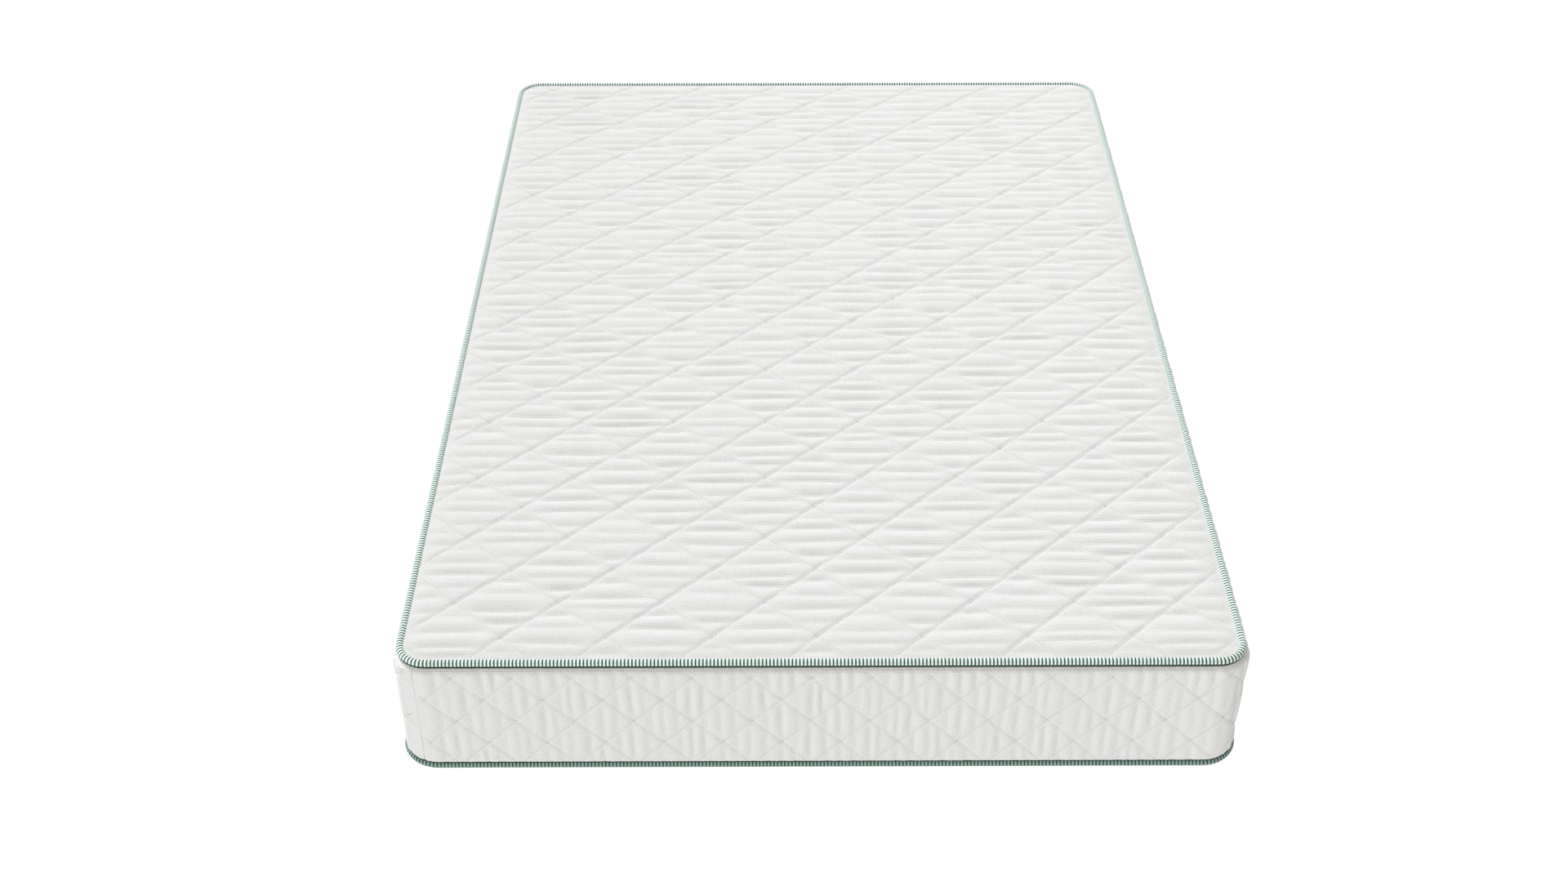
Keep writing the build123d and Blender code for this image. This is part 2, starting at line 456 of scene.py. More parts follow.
def to_lines(net, x, y):
    """Distance to the nearest falling and to the nearest rising quilting line."""
    p, q = net.counts(x, y)
    return net.line_gap * np.abs(p - np.round(p)), net.line_gap * np.abs(q - np.round(q))


def puckers(net, x, y, creases, tall, upright):
    """Soft rolls with creases between them, which the quilting draws up in each diamond.

    Every crease has its own shift, lean, bow, depth and run, fixed by its diamond.
    """
    p, q = net.counts(x, y)
    i = np.floor(p + 1e-6)
    j = np.floor(q + 1e-6)
    centre_x, centre_y = net.place(i + 0.5, j + 0.5)
    along, across = (y - centre_y, x - centre_x) if upright else (x - centre_x, y - centre_y)
    half_run = (net.height if upright else net.width) / 2
    half_span = (net.width if upright else net.height) / 2
    spacing = creases[1] - creases[0]
    u = along / half_run
    places = [np.full_like(x, -half_span)]
    depths = [np.zeros_like(x)]
    for k, offset in enumerate(creases):
        shift = offset + 0.45 * spacing * (scatter(i, j, 10 + k) - 0.5)
        lean = 0.09 * (scatter(i, j, 20 + k) - 0.5)
        bow = 0.26 * spacing * (scatter(i, j, 30 + k) - 0.5)
        run = 1.04 - np.abs(shift) / half_span
        drift = 0.24 * (scatter(i, j, 50 + k) - 0.5) * run
        fade = np.clip(1 - ((u - drift) / run) ** 2, 0, None)
        places.append(shift + lean * along + bow * u**2)
        depths.append(tall * (0.4 + 1.0 * scatter(i, j, 40 + k)) * np.sqrt(fade))
    places.append(np.full_like(x, half_span))
    depths.append(np.zeros_like(x))
    total = np.zeros_like(x)
    soften = 0.0012
    for blur, share in ((-soften, 0.25), (0.0, 0.5), (soften, 0.25)):
        s = across + blur
        for k in range(len(places) - 1):
            t = (s - places[k]) / (places[k + 1] - places[k])
            arch = 2 * (depths[k] + depths[k + 1]) * t * (1 - t)
            roll = arch - depths[k] * (1 - t) - depths[k + 1] * t
            total += share * np.where((t >= 0) & (t < 1), roll, 0)
    return total


def blow_up(piece, held, pressure, most):
    """Fills flat cloth from beneath in a cloth simulation, held along its stitched lines.

    The rise that it gives is eased towards the most that the fill can lift.
    """
    frames = 20
    start = vertices(piece)
    stitched = piece.vertex_groups.new(name="stitched")
    stitched.add(np.nonzero(held)[0].tolist(), 1.0, "REPLACE")
    modifier = piece.modifiers.new("cloth", "CLOTH")
    cloth = modifier.settings
    cloth.quality = 4
    cloth.mass = 0.12
    cloth.tension_stiffness = 15
    cloth.compression_stiffness = 15
    cloth.shear_stiffness = 5
    cloth.bending_stiffness = 0.05
    cloth.vertex_group_mass = "stitched"
    cloth.use_pressure = True
    cloth.uniform_pressure_force = pressure
    cloth.effector_weights.gravity = 0
    modifier.collision_settings.use_collision = False
    for number in range(1, frames + 1):
        bpy.context.scene.frame_set(number)
    blown = piece.evaluated_get(bpy.context.evaluated_depsgraph_get()).to_mesh()
    end = np.empty(3 * len(blown.vertices))
    blown.vertices.foreach_get("co", end)
    piece.modifiers.clear()
    piece.vertex_groups.clear()
    bpy.context.scene.frame_set(1)
    risen = np.clip(end.reshape(-1, 3)[:, 2], 0, None)
    start[:, 2] = most * (1 - np.exp(-risen / most))
    piece.data.vertices.foreach_set("co", start.astype(np.float32).ravel())
    piece.data.update()


def puffed_sheet(bm, net, at_edge, pressure, most):
    """A quilted sheet from flat cloth: stitched along its net, filled, and subdivided once.
    """
    piece = object_from(bm, "puffed_sheet")
    points = vertices(piece)
    falling, rising = to_lines(net, points[:, 0], points[:, 1])
    on_line = 0.0005
    held = (np.minimum(falling, rising) < on_line) | at_edge(points[:, 0], points[:, 1])
    blow_up(piece, held, pressure, most)
    finer = piece.modifiers.new("finer", "SUBSURF")
    finer.levels = 1
    finer.render_levels = 1
    finer.boundary_smooth = "PRESERVE_CORNERS"
    bm = bmesh.new()
    bm.from_object(piece, bpy.context.evaluated_depsgraph_get())
    flat_mesh = piece.data
    bpy.data.objects.remove(piece)
    bpy.data.meshes.remove(flat_mesh)
    return bm


def edge_distance(x, y, half_x, half_y, radius):
    """Distance inwards from a rounded rectangle."""
    qx = np.abs(x) - (half_x - radius)
    qy = np.abs(y) - (half_y - radius)
    outside = np.hypot(np.maximum(qx, 0), np.maximum(qy, 0))
    return radius - outside - np.minimum(np.maximum(qx, qy), 0)


def finish_shape(piece, flat, points):
    """Writes a piece's shape, and its place on the flat cloth in metres as its UV map."""
    mesh = piece.data
    mesh.vertices.foreach_set("co", points.astype(np.float32).ravel())
    corners = np.empty(len(mesh.loops), dtype=np.int32)
    mesh.loops.foreach_get("vertex_index", corners)
    layer = mesh.uv_layers.new(name="cloth")
    layer.data.foreach_set("uv", flat[corners].astype(np.float32).ravel())
    mesh.polygons.foreach_set("use_smooth", np.ones(len(mesh.polygons), dtype=bool))
    mesh.update()


def vertices(piece):
    """A mesh's vertices as an array."""
    points = np.empty(3 * len(piece.data.vertices))
    piece.data.vertices.foreach_get("co", points)
    return points.reshape(-1, 3)


cord_low, cord_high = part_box("piping_top_cord")
seam_inset = 0.0085
top_seam_half = (cord_high[0] - seam_inset, cord_high[1] - seam_inset)
top_seam_radius = 0.042
top_seam_z = (cord_low[2] + cord_high[2]) / 2 + 0.0025
top_crown_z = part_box("top_panel_face")[1][2]
top_under_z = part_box("top_panel_backing")[0][2]
top_net = Diamonds(0.172, 0.164, (-0.265, -0.358))
top_creases = (-0.050, -0.017, 0.016, 0.050)
top_crease_depth = 0.0048
top_puff = 0.0026
top_line_z = top_crown_z - 0.0030


def top_relief(x, y, lift):
    """Height of the top panel's face, from how far the fill lifts it.

    The rising lines lie deeper in the fill than the falling ones.
    """
    falling, rising = to_lines(top_net, x, y)
    clear = (1 - np.exp(-rising / 0.006)) * (1 - np.exp(-falling / 0.006))
    rolls = puckers(top_net, x, y, top_creases, top_crease_depth, upright=False) * clear
    drawn_in = 0.0021 * np.exp(-rising / 0.0046) + 0.0004 * np.exp(-falling / 0.006)
    grooves = 0.0014 * np.exp(-rising / 0.0008) + 0.0006 * np.exp(-falling / 0.0008) + drawn_in
    inwards = np.maximum(edge_distance(x, y, *top_seam_half, top_seam_radius), 0)
    rise = 1 - np.exp(-((inwards / 0.016) ** 1.2))
    crown = 0.0008 * (1 - np.exp(-inwards / 0.25))
    return top_seam_z + (top_line_z + crown + lift + rolls - grooves - top_seam_z) * rise


bm = quilt_net(
    top_net,
    (-top_seam_half[0], top_seam_half[0]),
    (-top_seam_half[1], top_seam_half[1]),
    cells=16,
)
round_corners(bm, top_seam_half, top_seam_radius, cuts=9)
bm = puffed_sheet(
    bm,
    top_net,
    lambda x, y: edge_distance(x, y, *top_seam_half, top_seam_radius) < 0.001,
    pressure=14.0,
    most=top_puff,
)
rim = bmesh.ops.extrude_edge_only(bm, edges=[e for e in bm.edges if e.is_boundary])["geom"]
for part in rim:
    if isinstance(part, bmesh.types.BMVert):
        part.co.z = -1.0
under = [e for e in rim if isinstance(e, bmesh.types.BMEdge) and e.is_boundary]
bmesh.ops.contextual_create(bm, geom=under)
bmesh.ops.recalc_face_normals(bm, faces=bm.faces)
top_quilt = object_from(bm, "top_quilt", quilt_knit)
points = vertices(top_quilt)
flat = points[:, :2].copy()
lift = points[:, 2]
is_underside = lift < -0.5
face_height = top_relief(points[:, 0], points[:, 1], lift)
points[:, 2] = np.where(is_underside, top_under_z + 0.0002, face_height)
finish_shape(top_quilt, flat, points)
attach(top_quilt, "mattress")
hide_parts("top_panel_face", "top_panel_fill", "top_panel_backing")


# Quilted border: one strip of the same knit and fill that runs round the sides. It is
# quilted in smaller diamonds, puckers upright, and is joined near the left foot corner.
bed_low, bed_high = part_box("border_face")
bed_half = ((bed_high[0] - bed_low[0]) / 2, (bed_high[1] - bed_low[1]) / 2)
bed_radius = 0.060
join_past_corner = 0.0225


def loop_length(inset):
    """Length once round the bed at an inset from the border's outer face."""
    radius = bed_radius - inset
    straight = 2 * (bed_half[0] + bed_half[1] - 2 * bed_radius)
    return 2 * straight + 2 * math.pi * radius


def round_the_bed(s, inwards, inset=0.0):
    """Plan position at a distance s along the loop at an inset, then further inwards."""
    radius = bed_radius - inset
    lengths = [2 * (h - bed_radius) for h in bed_half] * 2
    s = np.mod(s - join_past_corner, loop_length(inset))
    x = np.zeros_like(s)
    y = np.zeros_like(s)
    start = 0.0
    corner = Vector((-(bed_half[0] - bed_radius), -(bed_half[1] - bed_radius)))
    for side, length in enumerate(lengths):
        heading = side * math.pi / 2
        ahead = Vector((round(math.cos(heading)), round(math.sin(heading))))
        end = start + length + radius * math.pi / 2
        here = (s >= start - 1e-9) & (s <= end + 1e-9)
        along = np.clip(s - start, 0, length)
        turn = heading + np.clip(s - start - length, 0, None) / radius
        out_x = np.sin(turn)
        out_y = -np.cos(turn)
        x = np.where(here, corner.x + ahead.x * along + out_x * (radius - inwards), x)
        y = np.where(here, corner.y + ahead.y * along + out_y * (radius - inwards), y)
        corner = corner + ahead * length
        start = end
    return x, y


border_wall = 0.0094
border_low_z = bed_low[2] - 0.0004
border_high_z = bed_high[2] + 0.0010
border_net = Diamonds(0.0972, 0.0992, (0.6953, 0.158))
border_creases = (-0.022, -0.001, 0.021)
border_crease_depth = 0.0031
border_puff = 0.0020
zip_low, zip_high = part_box("zip_tape_upper")
zip_half = (zip_high[0] - zip_low[0]) / 2
zip_top = zip_high[2] + 0.0002
head_middle = (
    join_past_corner
    + 3 * (bed_half[0] - bed_radius)
    + 2 * (bed_half[1] - bed_radius)
    + math.pi * bed_radius
)


def border_depth(s, z, lift):
    """Depth of the border's face, inwards from its outer plane, from its fill's lift.

    It tucks in under the top piping, bellies out below it, and laps over the bottom piping.
    """
    falling, rising = to_lines(border_net, s, z)
    clear = (1 - np.exp(-rising / 0.004)) * (1 - np.exp(-falling / 0.004))
    rolls = puckers(border_net, s, z, border_creases, border_crease_depth, upright=True) * clear
    drawn_in = 0.0008 * (np.exp(-rising / 0.006) + np.exp(-falling / 0.006))
    grooves = 0.0013 * (np.exp(-rising / 0.0008) + np.exp(-falling / 0.0008)) + drawn_in
    to_top = np.maximum(border_high_z - z, 0)
    to_bottom = np.maximum(z - border_low_z, 0)
    tuck = 0.0084 * np.exp(-((to_top / 0.0028) ** 1.5))
    lip = 0.0050 * np.exp(-to_bottom / 0.014) - 0.0050 * np.exp(-((to_bottom / 0.0012) ** 2))
    mid_height = (border_low_z + border_high_z) / 2
    belly = 0.0030 * (1 - ((z - mid_height) / (border_high_z - mid_height)) ** 14)
    calm = (1 - np.exp(-to_top / 0.005)) * (1 - np.exp(-to_bottom / 0.006))
    to_join = np.minimum(s, loop_length(0) - s)
    join = 0.0022 * np.exp(-to_join / 0.0022)
    loft = (lift + rolls - grooves) * calm * (1 - 0.6 * np.exp(-to_join / 0.006))
    return np.minimum(0.0024 + tuck + join - loft - belly - lip, border_wall - 0.0004)


bm = quilt_net(border_net, (0.0, loop_length(0)), (border_low_z, border_high_z), cells=11)
bm = puffed_sheet(
    bm,
    border_net,
    lambda s, z: (np.minimum(s, loop_length(0) - s) < 0.001)
    | (np.minimum(z - border_low_z, border_high_z - z) < 0.001),
    pressure=22.0,
    most=border_puff,
)
for point, normal in (
    (Vector((head_middle - zip_half, 0, 0)), Vector((1, 0, 0))),
    (Vector((head_middle + zip_half, 0, 0)), Vector((1, 0, 0))),
    (Vector((0, zip_top, 0)), Vector((0, 1, 0))),
):
    bmesh.ops.bisect_plane(
        bm, geom=[*bm.verts, *bm.edges, *bm.faces], dist=1e-6, plane_co=point, plane_no=normal
    )
opening = []
for face in bm.faces:
    middle = face.calc_center_median()
    if middle.y < zip_top and abs(middle.x - head_middle) < zip_half:
        opening.append(face)
bmesh.ops.delete(bm, geom=opening, context="FACES")
rim = bmesh.ops.extrude_edge_only(bm, edges=[e for e in bm.edges if e.is_boundary])["geom"]
for part in rim:
    if isinstance(part, bmesh.types.BMVert):
        part.co.z = -1.0
back = [e for e in rim if isinstance(e, bmesh.types.BMEdge) and e.is_boundary]
bmesh.ops.triangle_fill(bm, use_beauty=True, edges=back)
bmesh.ops.recalc_face_normals(bm, faces=bm.faces)
border_quilt = object_from(bm, "border_quilt", quilt_knit)
points = vertices(border_quilt)
flat = points[:, :2].copy()
lift = points[:, 2]
is_back = lift < -0.5
depth = np.where(is_back, border_wall, border_depth(flat[:, 0], flat[:, 1], lift))
bent_x, bent_y = round_the_bed(np.clip(flat[:, 0], 1e-6, loop_length(0) - 1e-6), depth)
finish_shape(border_quilt, flat, np.column_stack((bent_x, bent_y, flat[:, 1])))
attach(border_quilt, "mattress")
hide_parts("border_face", "border_fill", "border_backing")


# Quilting stitches: lock stitches in white polyester thread that hold both panels' face and
# fill to their backing. Each is a few millimetres long and lies in its groove.
thread_white = plain_cloth("polyester_sewing_thread", "f6f5f2", "dcdad6", 0.0006)
prototype_size = 0.9


def repeated(piece, count):
    """Repeats a piece under a metre long, each copy a metre further along X, as one mesh."""
    row = piece.modifiers.new("row", "ARRAY")
    row.use_relative_offset = False
    row.use_constant_offset = True
    row.constant_offset_displace = (1.0, 0.0, 0.0)
    row.count = count
    bpy.context.view_layer.update()
    whole = bpy.data.meshes.new_from_object(
        piece.evaluated_get(bpy.context.evaluated_depsgraph_get())
    )
    piece.modifiers.clear()
    single = piece.data
    piece.data = whole
    whole.name = piece.name
    bpy.data.meshes.remove(single)
    points = vertices(piece)
    which = np.rint(points[:, 0]).astype(int)
    points[:, 0] -= which
    return points, which


def stitch_places(net, x_range, y_range, pitch):
    """Middle and direction of each stitch along a net's lines, over a rectangle."""
    places = []
    low, high = net.reach(x_range, y_range)
    for family in (0, 1):
        rise = -1 if family == 0 else 1
        direction = Vector((net.width, rise * net.height)).normalized()
        for line in range(low[family], high[family] + 1):
            start = low[1 - family]
            end = high[1 - family]
            run = (end - start) * math.hypot(net.width, net.height) / 2
            other = start + (np.arange(int(run / pitch)) + 0.5) * pitch / run * (end - start)
            same = np.full_like(other, line)
            p, q = (same, other) if family == 0 else (other, same)
            x, y = net.place(p, q)
            ahead_x = np.full_like(x, direction.x)
            ahead_y = np.full_like(x, direction.y)
            places.append(np.column_stack((x, y, ahead_x, ahead_y)))
    places = np.concatenate(places)
    keep = (places[:, 0] > x_range[0]) & (places[:, 0] < x_range[1])
    keep &= (places[:, 1] > y_range[0]) & (places[:, 1] < y_range[1])
    return places[keep]


def stitches(name, places, stitch_length, thickness):
    """A thread piece with one lock stitch for each place, flat, with its height apart."""
    bm = bmesh.new()
    lay = Matrix.Rotation(math.pi / 2, 4, "Y")
    bmesh.ops.create_uvsphere(
        bm, u_segments=4, v_segments=3, radius=prototype_size / 2, matrix=lay
    )
    piece = object_from(bm, name, thread_white)
    local, which = repeated(piece, len(places))
    local /= prototype_size
    along = local[:, 0] * stitch_length
    across = local[:, 1] * thickness
    x, y, ahead_x, ahead_y = places[which].T
    x = x + along * ahead_x - across * ahead_y
    y = y + along * ahead_y + across * ahead_x
    return piece, np.column_stack((x, y)), local[:, 2] * thickness


stitch_pitch = 0.0045
stitch_length = 0.0036
thread_thickness = 0.0009
places = stitch_places(
    top_net,
    (-top_seam_half[0], top_seam_half[0]),
    (-top_seam_half[1], top_seam_half[1]),
    stitch_pitch,
)
inwards = edge_distance(places[:, 0], places[:, 1], *top_seam_half, top_seam_radius)
places = places[inwards > 0.008]
top_stitches, flat, lift = stitches("top_stitches", places, stitch_length, thread_thickness)
height = top_relief(flat[:, 0], flat[:, 1], 0.0) + lift + thread_thickness / 4
finish_shape(top_stitches, flat, np.column_stack((flat, height)))
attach(top_stitches, "mattress")

places = stitch_places(
    border_net,
    (0.006, loop_length(0) - 0.006),
    (border_low_z + 0.004, border_high_z - 0.007),
    stitch_pitch,
)
beside_zip = np.abs(places[:, 0] - head_middle) < zip_half + 0.004
places = places[~(beside_zip & (places[:, 1] < zip_top + 0.003))]
border_stitches, flat, lift = stitches("border_stitches", places, stitch_length, thread_thickness)
depth = border_depth(flat[:, 0], flat[:, 1], 0.0) - lift - thread_thickness / 4
bent_x, bent_y = round_the_bed(flat[:, 0], depth)
finish_shape(border_stitches, flat, np.column_stack((bent_x, bent_y, flat[:, 1])))
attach(border_stitches, "mattress")


# Bottom panel: one layer of plain polyester cloth, stretched flat across the underside and
# sewn into the bottom piping all round.
underside_cloth = plain_cloth("underside_polyester_cloth", "ebebe9", "cfcfcc", 0.0018)
under_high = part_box("bottom_panel")[1]
bm = bmesh.new()
bmesh.ops.create_grid(
    bm,
    x_segments=56,
    y_segments=80,
    size=0.5,
    matrix=Matrix.Diagonal((2 * under_high[0], 2 * under_high[1], 1, 1)),
)
under_radius = 0.052
round_corners(bm, under_high, under_radius, cuts=9)
underside = object_from(bm, "underside", underside_cloth)
points = vertices(underside)
flat = points[:, :2].copy()
most_slack = 0.0004
slack = np.cos(flat[:, 0] * 9.0) * np.cos(flat[:, 1] * 7.0) * np.sin(flat[:, 0] * 3.0 + 1.1)
points[:, 2] = under_high[2] - most_slack * (1 + slack) / 2
finish_shape(underside, flat, points)
wall = underside.modifiers.new("thickness", "SOLIDIFY")
wall.thickness = 0.0009
wall.offset = -1.0
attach(underside, "mattress")
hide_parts("bottom_panel")


# Piping: a soft round cord in a sleeve of striped jersey, mint and green across the cord,
# sewn into both edge seams. The sleeve's edge, next to the border, is plain dark green, partly
# the sleeve's own dark edge and partly painted shade of the crevice between piping and border.
dark_edge_and_shade = 0.22
piping_radius = 0.0065
stripe_pitch = 0.0060
stripe_swell = 0.00025
ribs_round = 36


def striped_jersey(name, greens, mints):
    """Sleeve cloth in stripes of green and mint, with a dark green edge: its own dark edge and
    painted shade of the crevice by the border.
    """
    material, tree, output = new_material(name)
    cloth = add_node(tree, "ShaderNodeUVMap", {"uv_map": "cloth"})
    split = add_node(tree, "ShaderNodeSeparateXYZ", inputs={0: cloth.outputs["UV"]})
    yarn = add_node(
        tree,
        "ShaderNodeTexNoise",
        inputs={"Vector": cloth.outputs["UV"], "Scale": 3.0, "Detail": 2.0},
    )
    turns = add_node(
        tree, "ShaderNodeMath", {"operation": "MULTIPLY"}, {0: split.outputs["X"], 1: 2 * math.pi}
    )
    wave = add_node(tree, "ShaderNodeMath", {"operation": "COSINE"}, {0: turns.outputs[0]})
    stripe = add_node(
        tree,
        "ShaderNodeMapRange",
        {"interpolation_type": "SMOOTHSTEP"},
        {"Value": wave.outputs[0], "From Min": -0.45, "From Max": 0.15},
    )
    green = add_node(
        tree,
        "ShaderNodeMix",
        {"data_type": "RGBA"},
        {0: yarn.outputs["Fac"], 6: linear(greens[0]), 7: linear(greens[1])},
    )
    mint = add_node(
        tree,
        "ShaderNodeMix",
        {"data_type": "RGBA"},
        {0: yarn.outputs["Fac"], 6: linear(mints[0]), 7: linear(mints[1])},
    )
    bands = add_node(
        tree,
        "ShaderNodeMix",
        {"data_type": "RGBA"},
        {0: stripe.outputs["Result"], 6: green.outputs[2], 7: mint.outputs[2]},
    )
    # The dark green edge band is partly the sleeve's own colour and partly painted shade of the
    # crevice by the border.
    edge = add_node(
        tree,
        "ShaderNodeMapRange",
        {"interpolation_type": "SMOOTHSTEP"},
        {"Value": split.outputs["Y"], "From Min": dark_edge_and_shade - 0.01, "From Max": dark_edge_and_shade + 0.01},
    )
    tone = add_node(
        tree,
        "ShaderNodeMix",
        {"data_type": "RGBA"},
        {0: edge.outputs["Result"], 6: linear("1d3b2c"), 7: bands.outputs[2]},
    )
    rib_turns = add_node(
        tree,
        "ShaderNodeMath",
        {"operation": "MULTIPLY"},
        {0: split.outputs["Y"], 1: 2 * math.pi * ribs_round},
    )
    ribs = add_node(tree, "ShaderNodeMath", {"operation": "SINE"}, {0: rib_turns.outputs[0]})
    relief = add_node(
        tree,
        "ShaderNodeBump",
        inputs={"Strength": 0.4, "Distance": 0.0002, "Height": ribs.outputs[0]},
    )
    shader = add_node(
        tree,
        "ShaderNodeBsdfPrincipled",
        inputs={
            "Base Color": tone.outputs[2],
            "Roughness": 0.72,
            "IOR": 1.5,
            "Sheen Weight": 0.15,
            "Normal": relief.outputs["Normal"],
        },
    )
    tree.links.new(shader.outputs[0], output.inputs["Surface"])
    return material


def close_seam(piece):
    """Joins the ends and edges of a tube that runs once round, and turns its faces outwards."""
    bm = bmesh.new()
    bm.from_mesh(piece.data)
    bmesh.ops.remove_doubles(bm, verts=bm.verts, dist=1e-5)
    bmesh.ops.recalc_face_normals(bm, faces=bm.faces)
    bm.to_mesh(piece.data)
    bm.free()


def piping(name, sleeve_node, cord_node, dark_edge_and_shade_from, sleeve_cloth):
    """A sleeve once round the bed. Its flat place is in stripes along and turns around."""
    core_low, core_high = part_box(cord_node)
    middle_z = (core_low[2] + core_high[2]) / 2
    inset = bed_half[0] - core_high[0] + (core_high[2] - core_low[2]) / 2
    stripes = round(loop_length(inset) / stripe_pitch)
    bm = bmesh.new()
    bmesh.ops.create_grid(bm, x_segments=4 * stripes, y_segments=20, size=0.5)
    piece = object_from(bm, name, sleeve_cloth)
    points = vertices(piece)
    flat = np.column_stack(((points[:, 0] + 0.5) * stripes, points[:, 1] + 0.5))
    angle = 2 * math.pi * (flat[:, 1] + dark_edge_and_shade_from)
    swell = piping_radius - 0.0002 + stripe_swell * np.cos(2 * math.pi * flat[:, 0])
    s = flat[:, 0] / stripes * loop_length(inset)
    x, y = round_the_bed(s, -swell * np.cos(angle), inset)
    finish_shape(piece, flat, np.column_stack((x, y, middle_z + swell * np.sin(angle))))
    close_seam(piece)
    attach(piece, "mattress")
    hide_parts(sleeve_node)


# The bottom piping is the top piping's cloth with painted shade: its green and mint are drawn
# duller and darker for the shade it lies in low by the floor.
upper_jersey = striped_jersey(
    "striped_piping_jersey", greens=("204a3a", "416f5d"), mints=("e4faef", "fafffd")
)
shaded_lower_jersey = striped_jersey(
    "striped_piping_jersey_painted_shade", greens=("1b3b2e", "33594a"), mints=("7f9e91", "9bb6aa")
)
piping("top_piping", "piping_top_sleeve", "piping_top_cord", 0.76, upper_jersey)
piping("bottom_piping", "piping_bottom_sleeve", "piping_bottom_cord", 0.178, shaded_lower_jersey)

# The sleeve's seam allowance, a dark green strip between the top piping and the border, partly
# its own colour and partly painted shade of the crevice there. Its outline gives the depth in
# from the border's face and the height above the border's edge.
flange_outline = ((0.0088, 0.0005), (0.0088, -0.0004), (0.0115, 0.0001), (0.0115, 0.0013))
bm = bmesh.new()
bmesh.ops.create_grid(bm, x_segments=800, y_segments=4, size=0.5)
piping_flange_and_shade = object_from(bm, "top_piping_flange", upper_jersey)
points = vertices(piping_flange_and_shade)
s = (points[:, 0] + 0.5) * loop_length(0)
corner = np.rint((points[:, 1] + 0.5) * 4).astype(int) % 4
depth, rise = np.array(flange_outline)[corner].T
x, y = round_the_bed(s, depth)
flat = np.column_stack((s / stripe_pitch, np.full_like(s, dark_edge_and_shade / 2)))
finish_shape(piping_flange_and_shade, flat, np.column_stack((x, y, border_high_z + rise)))
close_seam(piping_flange_and_shade)
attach(piping_flange_and_shade, "mattress")


# Zip: two woven polyester tapes with a nylon coil on each, closed by a cast slider with a
# wire bail and a flat pull tab, and stopped by pressed metal stops at both ends.
zip_tape = plain_cloth("woven_zip_tape", "f3f2ee", "d8d6d0", 0.0009)
dress("zip_tape_upper", zip_tape)
dress("zip_tape_lower", zip_tape)

# Drawn nylon wire: milky, slightly clear and smooth, so that it glints.
coil_nylon, tree, output = new_material("nylon_zip_coil")
place = add_node(tree, "ShaderNodeTexCoord")
cloudy = add_node(
    tree, "ShaderNodeTexNoise", inputs={"Vector": place.outputs["Object"], "Scale": 400.0}
)
tone = add_node(
    tree,
    "ShaderNodeMix",
    {"data_type": "RGBA"},
    {0: cloudy.outputs["Fac"], 6: linear("e6e5e0"), 7: linear("f7f6f2")},
)
shader = add_node(
    tree,
    "ShaderNodeBsdfPrincipled",
    inputs={
        "Base Color": tone.outputs[2],
        "Roughness": 0.32,
        "IOR": 1.53,
        "Subsurface Weight": 0.1,
        "Subsurface Radius": (0.0008, 0.0007, 0.0006),
    },
)
tree.links.new(shader.outputs[0], output.inputs["Surface"])

# Cast zinc with a nickel plate: a soft grey mirror, dulled in patches by handling.
zinc_metal, tree, output = new_material("nickel_plated_zinc")
place = add_node(tree, "ShaderNodeTexCoord")
wear = add_node(
    tree,
    "ShaderNodeTexNoise",
    inputs={"Vector": place.outputs["Object"], "Scale": 350.0, "Detail": 3.0},
)
tone = add_node(
    tree,
    "ShaderNodeMix",
    {"data_type": "RGBA"},
    {0: wear.outputs["Fac"], 6: linear("a9a9a7"), 7: linear("cfcfcc")},
)
polish = add_node(
    tree,
    "ShaderNodeMapRange",
    inputs={"Value": wear.outputs["Fac"], "To Min": 0.24, "To Max": 0.42},
)
relief = add_node(
    tree,
    "ShaderNodeBump",
    inputs={"Strength": 0.15, "Distance": 0.00005, "Height": wear.outputs["Fac"]},
)
shader = add_node(
    tree,
    "ShaderNodeBsdfPrincipled",
    inputs={
        "Base Color": tone.outputs[2],
        "Metallic": 1.0,
        "Roughness": polish.outputs["Result"],
        "Normal": relief.outputs["Normal"],
    },
)
tree.links.new(shader.outputs[0], output.inputs["Surface"])
for node in ("zip_slider", "zip_pull_tab", "zip_top_stops", "zip_bottom_stop"):
    dress(node, zinc_metal)

tooth_pitch = 0.0016
tooth_lean = 0.0006
for side, node in ((1, "zip_chain_upper"), (-1, "zip_chain_lower")):
    low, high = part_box(node)
    span = [h - l for l, h in zip(low, high)]
    bm = bmesh.new()
    bmesh.ops.create_cube(bm, size=prototype_size)
    bmesh.ops.bevel(
        bm, geom=bm.edges[:], offset=0.22, affect="EDGES", segments=1, profile=0.5, material=-1
    )
    teeth = object_from(bm, node.replace("chain", "coil"), coil_nylon)
    count = int(span[0] / tooth_pitch)
    local, which = repeated(teeth, count)
    local /= prototype_size
    x = low[0] + (which + 0.5) * span[0] / count + local[:, 0] * tooth_pitch * prototype_size
    x += side * tooth_lean * local[:, 2]
    y = (low[1] + high[1]) / 2 + local[:, 1] * span[1]
    z = (low[2] + high[2]) / 2 + local[:, 2] * span[2]
    finish_shape(teeth, np.column_stack((x, z)), np.column_stack((x, y, z)))
    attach(teeth, "mattress")
    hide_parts(node)


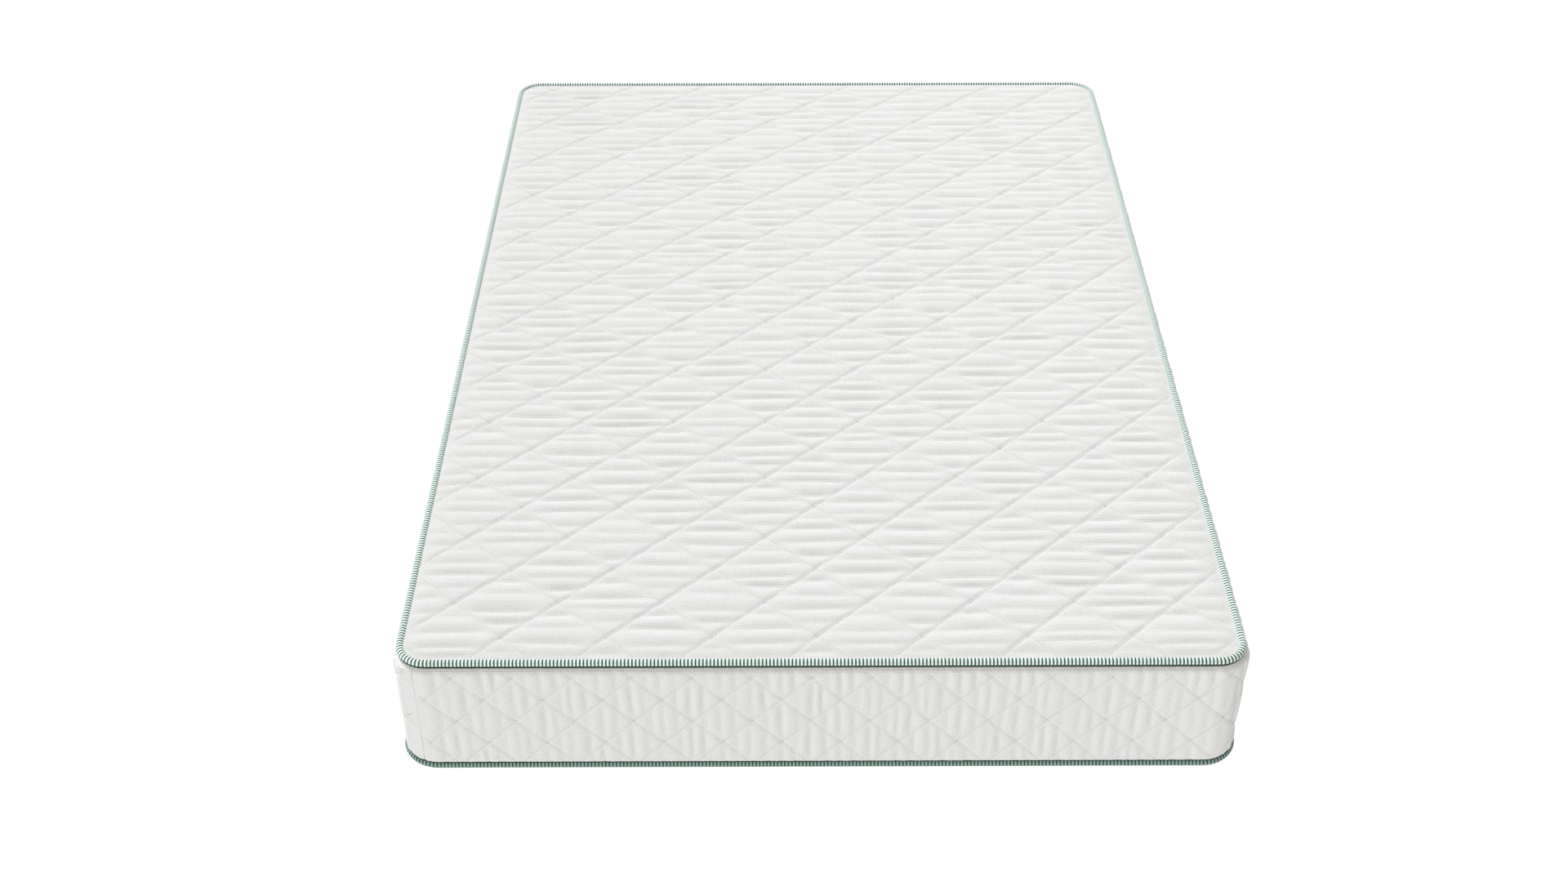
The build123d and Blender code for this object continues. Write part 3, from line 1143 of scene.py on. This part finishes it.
# Care label: a blank strip of white satin ribbon, caught in the upper seam at the head end
# and hanging over the border. The satin has a soft sheen, and its weft is drawn coarser than
# it is.
weft_pitch = 0.0010
label_satin, tree, output = new_material("white_satin_ribbon")
cloth = add_node(tree, "ShaderNodeUVMap", {"uv_map": "cloth"})
split = add_node(tree, "ShaderNodeSeparateXYZ", inputs={0: cloth.outputs["UV"]})
weft_turns = add_node(
    tree,
    "ShaderNodeMath",
    {"operation": "MULTIPLY"},
    {0: split.outputs["Y"], 1: 2 * math.pi / weft_pitch},
)
weft = add_node(tree, "ShaderNodeMath", {"operation": "SINE"}, {0: weft_turns.outputs[0]})
shade = add_node(
    tree,
    "ShaderNodeMapRange",
    inputs={"Value": weft.outputs[0], "From Min": -1.0},
)
tone = add_node(
    tree,
    "ShaderNodeMix",
    {"data_type": "RGBA"},
    {0: shade.outputs["Result"], 6: linear("dededb"), 7: linear("efefec")},
)
relief = add_node(
    tree,
    "ShaderNodeBump",
    inputs={"Strength": 0.3, "Distance": 0.0001, "Height": weft.outputs[0]},
)
shader = add_node(
    tree,
    "ShaderNodeBsdfPrincipled",
    inputs={
        "Base Color": tone.outputs[2],
        "Roughness": 0.38,
        "IOR": 1.5,
        "Sheen Weight": 0.3,
        "Normal": relief.outputs["Normal"],
    },
)
tree.links.new(shader.outputs[0], output.inputs["Surface"])
label_low, label_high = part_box("care_label")
label_size = (label_high[0] - label_low[0], label_high[2] - label_low[2])
label_middle = head_middle - (label_low[0] + label_high[0]) / 2
label_clearance = 0.0005
drop = np.linspace(border_high_z - 0.0015, label_low[2], 400)
across = label_middle + np.linspace(-0.5, 0.5, 31) * label_size[0]
across, heights = np.meshgrid(across, drop)
border_front = border_depth(across, heights, border_puff).min(axis=1)
hang = np.minimum.accumulate(border_front - label_clearance)
run = np.concatenate(([0.0], np.cumsum(np.hypot(np.diff(drop), np.diff(hang)))))
bm = bmesh.new()
bmesh.ops.create_grid(bm, x_segments=16, y_segments=40, size=0.5)
care_label = object_from(bm, "care_label_ribbon", label_satin)
points = vertices(care_label)
side = points[:, 0] + 0.5
away = 0.5 - points[:, 1]
flat = np.column_stack((side * label_size[0], away * label_size[1]))
z = np.interp(flat[:, 1], run, drop)
depth = np.interp(flat[:, 1], run, hang)
curl = 0.0012 * away**2 * (1 + np.cos(2 * math.pi * (side - 0.5) + 0.6)) + 0.0022 * away**4 * side
x, y = round_the_bed(label_middle + (side - 0.5) * label_size[0], depth - curl)
finish_shape(care_label, flat, np.column_stack((x, y, z)))
ribbon = care_label.modifiers.new("thickness", "SOLIDIFY")
ribbon.thickness = 0.0003
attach(care_label, "mattress")
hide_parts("care_label")
